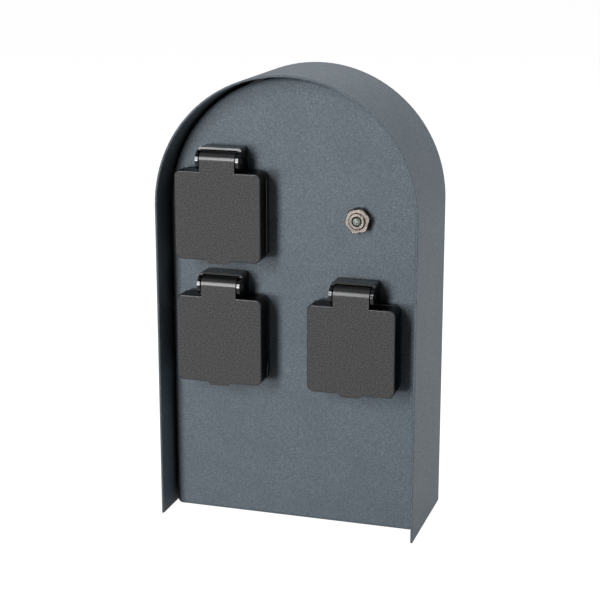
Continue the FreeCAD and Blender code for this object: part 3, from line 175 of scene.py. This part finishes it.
def powder_coat(finish):
    """Fine-textured polyester powder coat, baked: a satin skin of small hard grains that breaks up highlights."""
    material, tree = new_material("powder_coat_fine_texture")
    place = add(tree, "TexCoord").outputs["Object"]
    # Real grains are about 0.4 mm apart, under one pixel here, so they are drawn twice as coarse
    grains = add(tree, "TexNoise", {
        "Vector": place, "Scale": 1 / finish.grain, "Detail": 3.0, "Roughness": 0.7,
    })
    # Clouds a few centimetres wide: the coat lies a little thicker here and thinner there
    clouds = add(tree, "TexNoise", {"Vector": place, "Scale": every(22), "Detail": 3.0})
    specks = add(tree, "TexVoronoi", {"Vector": place, "Scale": every(3.2), "Randomness": 1.0})
    valleys = add(tree, "MapRange", {"Value": grains, FROM_MIN: 0.38, FROM_MAX: 0.62})
    thin = add(tree, "MapRange", {"Value": clouds, FROM_MIN: 0.35, FROM_MAX: 0.65, TO_MIN: 0.0, TO_MAX: 0.3})
    dots = add(tree, "MapRange", {"Value": specks, FROM_MIN: 0.05, FROM_MAX: 0.2, TO_MIN: 0.3, TO_MAX: 0.0})
    base = add(
        tree, "Mix", {FACTOR: valleys, COLOUR_A: finish.coat_dark, COLOUR_B: finish.coat}, data_type="RGBA",
    )
    base = add(tree, "Mix", {FACTOR: thin, COLOUR_A: base, COLOUR_B: finish.coat_dark}, data_type="RGBA")
    base = add(tree, "Mix", {FACTOR: dots, COLOUR_A: base, COLOUR_B: finish.coat_light}, data_type="RGBA")
    rough = add(tree, "MapRange", {"Value": grains, FROM_MIN: 0.3, FROM_MAX: 0.7, TO_MIN: 0.58, TO_MAX: 0.44})
    normal = add(tree, "Bump", {"Height": grains, "Distance": finish.relief})
    shader = add(tree, "BsdfPrincipled", {
        "Base Color": base, "Roughness": rough, "IOR": POLYESTER_IOR, "Specular IOR Level": finish.gloss,
        "Normal": normal,
    })
    add(tree, "OutputMaterial", {"Surface": shader})
    return material


def zinc_sheet(finish):
    """Hot-dip galvanised steel sheet: pale metal with soft cloudy spangle and faint rolling lines."""
    material, tree = new_material("galvanised_steel_sheet")
    place = add(tree, "TexCoord").outputs["Object"]
    spangle = add(tree, "TexVoronoi", {"Vector": place, "Scale": every(9)}).outputs["Color"]
    tone = add(tree, "SeparateColor", {"Color": spangle})
    # Stretched along Z, the noise turns into lines
    stretched = add(tree, "Mapping", {"Vector": place, "Scale": (1.0, 1.0, 0.04)})
    lines = add(tree, "TexNoise", {"Vector": stretched, "Scale": every(0.5)})
    dull = add(tree, "MapRange", {"Value": tone, TO_MIN: 0.0, TO_MAX: 0.35})
    base = add(tree, "Mix", {FACTOR: dull, COLOUR_A: finish.zinc, COLOUR_B: finish.zinc_dull}, data_type="RGBA")
    rough = add(tree, "MapRange", {"Value": tone, TO_MIN: 0.34, TO_MAX: 0.46})
    normal = add(tree, "Bump", {"Height": lines, "Distance": 0.01 * MM})
    shader = add(tree, "BsdfPrincipled", {
        "Base Color": base, "Metallic": 1.0, "Roughness": rough, "Normal": normal,
    })
    add(tree, "OutputMaterial", {"Surface": shader})
    return material


def zinc_screw(finish):
    """Zinc-plated cold-headed screw steel: bright, a little uneven, with fine turning marks."""
    material, tree = new_material("zinc_plated_screw_steel")
    place = add(tree, "TexCoord").outputs["Object"]
    marks = add(tree, "TexNoise", {"Vector": place, "Scale": every(0.35), "Detail": 3.0})
    patches = add(tree, "TexNoise", {"Vector": place, "Scale": every(2.5)})
    bright = add(tree, "MapRange", {"Value": patches, FROM_MIN: 0.35, FROM_MAX: 0.65})
    base = add(
        tree, "Mix", {FACTOR: bright, COLOUR_A: finish.zinc, COLOUR_B: linear("#bfc1bd")}, data_type="RGBA",
    )
    rough = add(tree, "MapRange", {"Value": patches, FROM_MIN: 0.3, FROM_MAX: 0.7, TO_MIN: 0.25, TO_MAX: 0.38})
    normal = add(tree, "Bump", {"Height": marks, "Distance": 0.01 * MM})
    shader = add(tree, "BsdfPrincipled", {
        "Base Color": base, "Metallic": 1.0, "Roughness": rough, "Normal": normal,
    })
    add(tree, "OutputMaterial", {"Surface": shader})
    return material


def lid_plastic(finish):
    """Polyamide lid: spark-eroded matte grain on the front, polished smooth sides and rolled hinge, with a
    painted highlight on the rounded edges and rolled top.
    """
    material, tree = new_material("polyamide_spark_eroded")
    where = add(tree, "TexCoord")
    place = where.outputs["Object"]
    # Real grain is about 0.25 mm, drawn three times as coarse so that the front's sparkle shows
    grains = add(tree, "TexNoise", {
        "Vector": place, "Scale": 1 / finish.grain, "Detail": 3.0, "Roughness": 0.7,
    })
    forwards = add(
        tree, "VectorMath", {0: where.outputs["Normal"], 1: (0.0, -1.0, 0.0)}, operation="DOT_PRODUCT",
    )
    front = add(tree, "MapRange", {"Value": forwards, FROM_MIN: 0.985, FROM_MAX: 0.998})
    # Painted highlight: the more a surface faces forwards, such as the rounded edges and the rolled top, the
    # lighter it is coloured than the sides
    edge = add(tree, "MapRange", {"Value": forwards, FROM_MIN: 0.3, FROM_MAX: 0.9})
    points = add(tree, "MapRange", {"Value": grains, FROM_MIN: 0.4, FROM_MAX: 0.62})
    grained = add(
        tree, "Mix", {FACTOR: points, COLOUR_A: finish.face, COLOUR_B: finish.face_light}, data_type="RGBA",
    )
    base = add(tree, "Mix", {FACTOR: edge, COLOUR_A: finish.smooth, COLOUR_B: finish.edge}, data_type="RGBA")
    base = add(tree, "Mix", {FACTOR: front, COLOUR_A: base, COLOUR_B: grained}, data_type="RGBA")
    rough = add(tree, "MapRange", {"Value": front, TO_MIN: 0.27, TO_MAX: 0.7})
    # The sides mirror less than the front, so that they stay black beside it
    gloss = add(tree, "MapRange", {"Value": forwards, FROM_MIN: 0.0, FROM_MAX: 0.5, TO_MIN: 0.05, TO_MAX: 0.5})
    height = add(tree, "Math", {0: grains, 1: front}, operation="MULTIPLY")
    normal = add(tree, "Bump", {"Height": height, "Distance": finish.relief})
    shader = add(tree, "BsdfPrincipled", {
        "Base Color": base, "Roughness": rough, "IOR": POLYAMIDE_IOR, "Specular IOR Level": gloss,
        "Normal": normal,
    })
    add(tree, "OutputMaterial", {"Surface": shader})
    return material


def base_plastic(finish):
    """Polyamide base from a polished mould: smooth and half glossy, with a faint ripple."""
    material, tree = new_material("polyamide_polished")
    place = add(tree, "TexCoord").outputs["Object"]
    ripple = add(tree, "TexNoise", {"Vector": place, "Scale": every(4)})
    flow = add(tree, "TexNoise", {"Vector": place, "Scale": every(0.4), "Detail": 3.0})
    lighter = add(tree, "MapRange", {"Value": flow, FROM_MIN: 0.3, FROM_MAX: 0.7})
    base = add(tree, "Mix", {
        FACTOR: lighter, COLOUR_A: finish.smooth, COLOUR_B: finish.smooth_light,
    }, data_type="RGBA")
    rough = add(tree, "MapRange", {"Value": flow, FROM_MIN: 0.3, FROM_MAX: 0.7, TO_MIN: 0.1, TO_MAX: 0.17})
    normal = add(tree, "Bump", {"Height": ripple, "Distance": 0.02 * MM})
    shader = add(tree, "BsdfPrincipled", {
        "Base Color": base, "Roughness": rough, "IOR": POLYAMIDE_IOR, "Normal": normal,
    })
    add(tree, "OutputMaterial", {"Surface": shader})
    return material


def matte_plastic(name, code, light_code, rough, grain):
    """Moulded thermoplastic with an even fine grain, matte where the grain stands up."""
    material, tree = new_material(name)
    place = add(tree, "TexCoord").outputs["Object"]
    grains = add(tree, "TexNoise", {"Vector": place, "Scale": every(grain), "Detail": 3.0, "Roughness": 0.6})
    raised = add(tree, "MapRange", {"Value": grains, FROM_MIN: 0.35, FROM_MAX: 0.65})
    base = add(
        tree, "Mix", {FACTOR: raised, COLOUR_A: linear(code), COLOUR_B: linear(light_code)}, data_type="RGBA",
    )
    matte = add(tree, "MapRange", {
        "Value": grains, FROM_MIN: 0.3, FROM_MAX: 0.7, TO_MIN: rough + 0.05, TO_MAX: rough - 0.05,
    })
    normal = add(tree, "Bump", {"Height": grains, "Distance": 0.02 * MM})
    shader = add(tree, "BsdfPrincipled", {
        "Base Color": base, "Roughness": matte, "IOR": POLYAMIDE_IOR, "Normal": normal,
    })
    add(tree, "OutputMaterial", {"Surface": shader})
    return material


def rubber(name):
    """Moulded rubber: dead matte, slightly chalky, with a soft skin."""
    material, tree = new_material(name)
    place = add(tree, "TexCoord").outputs["Object"]
    skin = add(tree, "TexNoise", {"Vector": place, "Scale": every(0.6), "Detail": 3.0, "Roughness": 0.6})
    bloom = add(tree, "TexNoise", {"Vector": place, "Scale": every(8)})
    raised = add(tree, "MapRange", {"Value": skin, FROM_MIN: 0.35, FROM_MAX: 0.65})
    chalk = add(tree, "MapRange", {"Value": bloom, FROM_MIN: 0.4, FROM_MAX: 0.7, TO_MIN: 0.0, TO_MAX: 0.3})
    base = add(tree, "Mix", {
        FACTOR: raised, COLOUR_A: linear("#131314"), COLOUR_B: linear("#1e1e1f"),
    }, data_type="RGBA")
    base = add(tree, "Mix", {FACTOR: chalk, COLOUR_A: base, COLOUR_B: linear("#2c2c2d")}, data_type="RGBA")
    rough = add(tree, "MapRange", {"Value": bloom, FROM_MIN: 0.3, FROM_MAX: 0.7, TO_MIN: 0.7, TO_MAX: 0.82})
    normal = add(tree, "Bump", {"Height": skin, "Distance": 0.03 * MM})
    shader = add(tree, "BsdfPrincipled", {"Base Color": base, "Roughness": rough, "Normal": normal})
    add(tree, "OutputMaterial", {"Surface": shader})
    return material


def nickel_plate(finish):
    """Brass turned on a lathe and nickel plated: warm bright metal with fine rings round its axis."""
    material, tree = new_material("nickel_plated_turned_brass")
    place = add(tree, "TexCoord").outputs["Object"]
    low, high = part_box("lamp_lens")
    # How far a point is from the lamp's axis, which runs along Y through the lens
    arm = add(tree, "VectorMath", {0: place, 1: tuple((low + high) / 2)}, operation="SUBTRACT")
    flat = add(tree, "VectorMath", {0: arm, 1: (1.0, 0.0, 1.0)}, operation="MULTIPLY")
    reach = add(tree, "VectorMath", {0: flat}, operation="LENGTH")
    # Turning marks are about 0.1 mm apart, drawn five times as coarse so that the rings show
    rings = add(tree, "TexNoise", {"W": reach, "Scale": every(0.5), "Detail": 2.0}, noise_dimensions="1D")
    patches = add(tree, "TexNoise", {"Vector": place, "Scale": every(1.6), "Detail": 2.0})
    dull = add(tree, "MapRange", {"Value": patches, FROM_MIN: 0.35, FROM_MAX: 0.7})
    base = add(
        tree, "Mix", {FACTOR: dull, COLOUR_A: finish.nickel, COLOUR_B: finish.nickel_dull}, data_type="RGBA",
    )
    rough = add(tree, "MapRange", {"Value": patches, FROM_MIN: 0.3, FROM_MAX: 0.7, TO_MIN: 0.17, TO_MAX: 0.27})
    normal = add(tree, "Bump", {"Height": rings, "Distance": 0.022 * MM})
    shader = add(tree, "BsdfPrincipled", {
        "Base Color": base, "Metallic": 1.0, "Roughness": rough, "Normal": normal,
    })
    add(tree, "OutputMaterial", {"Surface": shader})
    return material


def clear_lens(finish):
    """Clear epoxy, cast round the lead frame: glassy, with a milky haze of flow marks."""
    material, tree = new_material("epoxy_cast_clear")
    place = add(tree, "TexCoord").outputs["Object"]
    flow = add(tree, "TexNoise", {"Vector": place, "Scale": every(0.9), "Detail": 3.0})
    milky = add(tree, "MapRange", {"Value": flow, FROM_MIN: 0.35, FROM_MAX: 0.65})
    base = add(tree, "Mix", {FACTOR: milky, COLOUR_A: finish.lens, COLOUR_B: finish.milk}, data_type="RGBA")
    clear = add(tree, "MapRange", {
        "Value": flow, FROM_MIN: 0.35, FROM_MAX: 0.65, TO_MIN: 1.0, TO_MAX: 1 - finish.haze,
    })
    rough = add(tree, "MapRange", {"Value": flow, FROM_MIN: 0.3, FROM_MAX: 0.7, TO_MIN: 0.08, TO_MAX: 0.2})
    normal = add(tree, "Bump", {"Height": flow, "Distance": 0.02 * MM})
    shader = add(tree, "BsdfPrincipled", {
        "Base Color": base, "Roughness": rough, "IOR": EPOXY_IOR, "Transmission Weight": clear,
        "Normal": normal,
    })
    add(tree, "OutputMaterial", {"Surface": shader})
    return material


def bright_metal(name, code, dark_code, rough, marks_across):
    """Drawn or stamped metal with fine marks from its tool, brighter on the marks' crests."""
    material, tree = new_material(name)
    place = add(tree, "TexCoord").outputs["Object"]
    marks = add(tree, "TexNoise", {"Vector": place, "Scale": every(marks_across), "Detail": 3.0})
    crests = add(tree, "MapRange", {"Value": marks, FROM_MIN: 0.35, FROM_MAX: 0.65})
    base = add(
        tree, "Mix", {FACTOR: crests, COLOUR_A: linear(dark_code), COLOUR_B: linear(code)}, data_type="RGBA",
    )
    sheen = add(tree, "MapRange", {
        "Value": marks, FROM_MIN: 0.3, FROM_MAX: 0.7, TO_MIN: rough + 0.06, TO_MAX: rough - 0.06,
    })
    normal = add(tree, "Bump", {"Height": marks, "Distance": 0.008 * MM})
    shader = add(tree, "BsdfPrincipled", {
        "Base Color": base, "Metallic": 1.0, "Roughness": sheen, "Normal": normal,
    })
    add(tree, "OutputMaterial", {"Surface": shader})
    return material


def coat(material, *names):
    """Gives a finish to whole nodes of the model."""
    for name in names:
        node = nodes_of_cad[name]
        node.data.materials.clear()
        node.data.materials.append(material)


def each_socket(*stems):
    """Names of the nodes that these pieces have at the three sockets."""
    return [f"{stem}_{name}" for stem in stems for name in SOCKETS]


class GARDENSOCKET_OT_housing(bpy.types.Operator):
    """Powder coats the arched hood and the front tray, and galvanises the sheets behind them"""

    bl_idname = "garden_socket.housing"
    bl_label = "Housing"

    def execute(self, context):
        finish = context.scene.garden_housing
        coat(powder_coat(finish), "arched_hood", "front_panel")
        coat(zinc_sheet(finish), "back_plate", "hook_bracket", "bottom_plate", "cable_clamp")
        return {"FINISHED"}


class GARDENSOCKET_OT_wiring(bpy.types.Operator):
    """Finishes the cable grommet, terminal block, earth stud and the screws of the housing and sockets"""

    bl_idname = "garden_socket.wiring"
    bl_label = "Cable entry and screws"

    def execute(self, context):
        finish = context.scene.garden_housing
        screw = zinc_screw(finish)
        coat(screw, "bottom_screws", "clamp_screws", "flange_screws", "centre_screws", "earth_stud")
        coat(rubber("epdm_grommet"), "cable_grommet")
        block = matte_plastic("polyamide_natural", "#b9b8b0", "#cfcec6", rough=0.4, grain=0.6)
        coat(block, "terminal_block")
        return {"FINISHED"}


class GARDENSOCKET_OT_pilot_lamp(bpy.types.Operator):
    """Plates the hexagonal bezel and nut, and makes the clear lens"""

    bl_idname = "garden_socket.pilot_lamp"
    bl_label = "Pilot lamp"

    def execute(self, context):
        finish = context.scene.garden_lamp
        coat(nickel_plate(finish), "lamp_bezel", "lamp_nut")
        coat(clear_lens(finish), "lamp_lens")
        coat(rubber("nitrile_washer"), "lamp_washer")
        body = matte_plastic("polyamide_black", "#151515", "#222223", rough=0.5, grain=0.5)
        coat(body, "lamp_body")
        return {"FINISHED"}


class GARDENSOCKET_OT_sockets(bpy.types.Operator):
    """Finishes the fixed parts of the three sockets"""

    bl_idname = "garden_socket.sockets"
    bl_label = "Sockets"

    def execute(self, context):
        finish = context.scene.garden_lids
        coat(base_plastic(finish), *each_socket("socket_base"))
        insert = matte_plastic("polyamide_insert", "#1c1c1d", "#29292b", rough=0.45, grain=0.5)
        coat(insert, *each_socket("socket_insert", "rear_cover"))
        coat(rubber("epdm_gasket"), *each_socket("flange_gasket"))
        clip = bright_metal("nickel_silver_strip", "#c9c4b8", "#a8a397", rough=0.28, marks_across=0.5)
        coat(clip, *each_socket("earth_clips"))
        brass = bright_metal("stamped_brass", "#d2b064", "#a98843", rough=0.3, marks_across=0.6)
        coat(brass, *each_socket("line_contacts"))
        screw = bright_metal("plated_screw", "#b8b8b4", "#97978f", rough=0.32, marks_across=0.4)
        coat(screw, "terminal_screws")
        pin = bright_metal("ground_stainless_pin", "#a9a9a9", "#848484", rough=0.22, marks_across=0.3)
        coat(pin, *each_socket("hinge_pin"))
        return {"FINISHED"}


class GARDENSOCKET_OT_lids(bpy.types.Operator):
    """Finishes the three sprung lids, their ring seals and their closing springs"""

    bl_idname = "garden_socket.lids"
    bl_label = "Lids"

    def execute(self, context):
        finish = context.scene.garden_lids
        coat(lid_plastic(finish), *each_socket("lid"))
        coat(rubber("epdm_seal"), *each_socket("lid_seal"))
        wire = bright_metal("drawn_stainless_wire", "#b4b4b1", "#8d8d8a", rough=0.26, marks_across=0.25)
        coat(wire, "lid_springs")
        return {"FINISHED"}


def area_light(name, power, place, target, width, height):
    """Sets a rectangular light that faces the target."""
    data = bpy.data.lights.new(name, "AREA")
    data.energy = power
    data.shape = "RECTANGLE"
    data.size = width
    data.size_y = height
    lamp = bpy.data.objects.new(name, data)
    lamp.location = place
    lamp.rotation_euler = (Vector(target) - Vector(place)).to_track_quat("-Z", "Y").to_euler()
    bpy.context.scene.collection.objects.link(lamp)


def studio_lights(studio):
    area_light(
        "key_light", studio.key_power, place=(-0.72, -1.9, 0.85), target=(0, 0, 0.13), width=0.42, height=1.3,
    )
    area_light(
        "low_light", studio.low_power, place=(-0.52, -1.37, 0.11), target=(0, 0, 0.02), width=0.4, height=0.2,
    )
    # Behind the hood's front edge, so that it lights the outside alone
    area_light(
        "side_light", studio.side_power, place=(1.2, 0.2, 0.5), target=(0.075, 0, 0.13), width=0.9, height=0.8,
    )
    # Small and bright, where the bevels of the bezel and the hinges mirror it to the camera
    area_light(
        "edge_light", studio.edge_power, place=(0.91, -0.52, 1.0), target=(0.038, -0.02, 0.178), width=0.25,
        height=0.25,
    )
    area_light(
        "top_light", studio.top_power, place=(-0.25, 0.45, 1.1), target=(0, 0, 0.2), width=1.2, height=0.6,
    )


def backdrop_strength(tree, mirrored_room):
    """Full strength for the camera's rays, the given one for mirror and glass rays, and none for others."""
    path = add(tree, "LightPath")
    mirrored = add(
        tree, "Math", {0: path.outputs["Is Glossy Ray"], 1: path.outputs["Is Transmission Ray"]},
        operation="MAXIMUM",
    )
    seen = add(tree, "Math", {0: mirrored, 1: mirrored_room}, operation="MULTIPLY")
    return add(tree, "Math", {0: path.outputs["Is Camera Ray"], 1: seen}, operation="MAXIMUM")


def white_room(studio):
    """World that is white to the camera, fills a little light in from behind, and mirrors dark in front."""
    world = bpy.data.worlds.new("studio_room")
    world.use_nodes = True
    tree = world.node_tree
    tree.nodes.clear()
    direction = add(tree, "TexCoord").outputs["Generated"]
    # Metal and edges mirror a room that is dark in front and bright behind, above and to the right
    towards = add(tree, "VectorMath", {0: direction, 1: BRIGHT_SIDE}, operation="DOT_PRODUCT")
    room = add(tree, "MapRange", {
        "Value": towards.outputs["Value"], FROM_MIN: 0.0, FROM_MAX: BRIGHT_FROM,
        TO_MIN: studio.mirror_front, TO_MAX: studio.mirror_behind,
    })
    seen = backdrop_strength(tree, room)
    depth = add(tree, "SeparateXYZ", {0: direction}).outputs["Y"]
    fill = add(tree, "MapRange", {
        "Value": depth, FROM_MIN: ROOM_FRONT, FROM_MAX: ROOM_BACK,
        TO_MIN: studio.fill_front, TO_MAX: studio.fill_behind,
    })
    strength = add(tree, "Math", {0: seen, 1: fill}, operation="MAXIMUM")
    background = add(tree, "Background", {"Color": (1, 1, 1, 1), "Strength": strength})
    add(tree, "OutputWorld", {"Surface": background})
    bpy.context.scene.world = world


def white_floor(studio):
    """Seamless paper: a glow makes it white to the camera, and its grey throws little light back."""
    bpy.ops.mesh.primitive_plane_add(size=FLOOR_SIZE, location=(0, 0, 0))
    floor = bpy.context.object
    floor.name = "studio_floor"
    material, tree = new_material("white_paper")
    place = add(tree, "TexCoord").outputs["Object"]
    fibres = add(tree, "TexNoise", {"Vector": place, "Scale": every(2), "Detail": 3.0})
    tone = add(tree, "Mix", {
        FACTOR: fibres, COLOUR_A: linear("#969695"), COLOUR_B: linear("#9e9e9d"),
    }, data_type="RGBA")
    paper = add(tree, "BsdfDiffuse", {"Color": tone})
    depth = add(tree, "SeparateXYZ", {0: add(tree, "NewGeometry").outputs["Position"]}).outputs["Y"]
    room = add(tree, "MapRange", {
        "Value": depth, FROM_MIN: ROOM_FRONT, FROM_MAX: ROOM_BACK,
        TO_MIN: studio.mirror_floor, TO_MAX: studio.mirror_behind,
    })
    strength = add(tree, "Math", {0: backdrop_strength(tree, room), 1: FLOOR_WHITE}, operation="MULTIPLY")
    glow = add(tree, "Emission", {"Color": (1, 1, 1, 1), "Strength": strength})
    both = add(tree, "AddShader", {0: paper, 1: glow})
    add(tree, "OutputMaterial", {"Surface": both})
    floor.data.materials.append(material)


def studio_camera(studio):
    data = bpy.data.cameras.new("camera")
    data.lens = studio.lens
    data.sensor_width = CAMERA_SENSOR
    data.clip_end = CAMERA_REACH
    camera = bpy.data.objects.new("camera", data)
    camera.location = CAMERA_PLACE
    camera.rotation_euler = (math.radians(90) - CAMERA_LOOKS_DOWN, 0, CAMERA_STANDS_RIGHT)
    bpy.context.scene.collection.objects.link(camera)
    bpy.context.scene.camera = camera


class GARDENSOCKET_OT_stage(bpy.types.Operator):
    """Sets the white floor, the soft lights and the camera"""

    bl_idname = "garden_socket.stage"
    bl_label = "Studio"

    def execute(self, context):
        studio = context.scene.garden_studio
        context.scene.view_settings.view_transform = "Standard"
        white_room(studio)
        white_floor(studio)
        studio_lights(studio)
        studio_camera(studio)
        return {"FINISHED"}


class GARDENSOCKET_PT_panel(bpy.types.Panel):
    """Lists the steps of the garden socket and the sizes and colours they use"""

    bl_label = "Garden Socket"
    bl_idname = "GARDENSOCKET_PT_panel"
    bl_space_type = "VIEW_3D"
    bl_region_type = "UI"
    bl_category = "Garden Socket"

    def draw(self, context):
        for step in STEPS:
            self.layout.operator(step.bl_idname)
        for group in GROUPS:
            box = self.layout.box()
            settings = getattr(context.scene, group)
            for name in settings.bl_rna.properties.keys():
                if name not in ("rna_type", "name"):
                    box.prop(settings, name)


STEPS = (
    GARDENSOCKET_OT_housing,
    GARDENSOCKET_OT_wiring,
    GARDENSOCKET_OT_pilot_lamp,
    GARDENSOCKET_OT_sockets,
    GARDENSOCKET_OT_lids,
    GARDENSOCKET_OT_stage,
)
GROUPS = {
    "garden_housing": HousingFinish,
    "garden_lids": LidFinish,
    "garden_lamp": LampFinish,
    "garden_studio": Studio,
}


def register():
    for group in GROUPS.values():
        bpy.utils.register_class(group)
    for name, group in GROUPS.items():
        setattr(bpy.types.Scene, name, PointerProperty(type=group))
    for step in STEPS:
        bpy.utils.register_class(step)
    bpy.utils.register_class(GARDENSOCKET_PT_panel)


def unregister():
    bpy.utils.unregister_class(GARDENSOCKET_PT_panel)
    for step in reversed(STEPS):
        bpy.utils.unregister_class(step)
    for name, group in GROUPS.items():
        delattr(bpy.types.Scene, name)
        bpy.utils.unregister_class(group)


def main():
    register()
    bpy.ops.garden_socket.housing()
    bpy.ops.garden_socket.wiring()
    bpy.ops.garden_socket.pilot_lamp()
    bpy.ops.garden_socket.sockets()
    bpy.ops.garden_socket.lids()
    bpy.ops.garden_socket.stage()


if __name__ == "__main__":
    main()
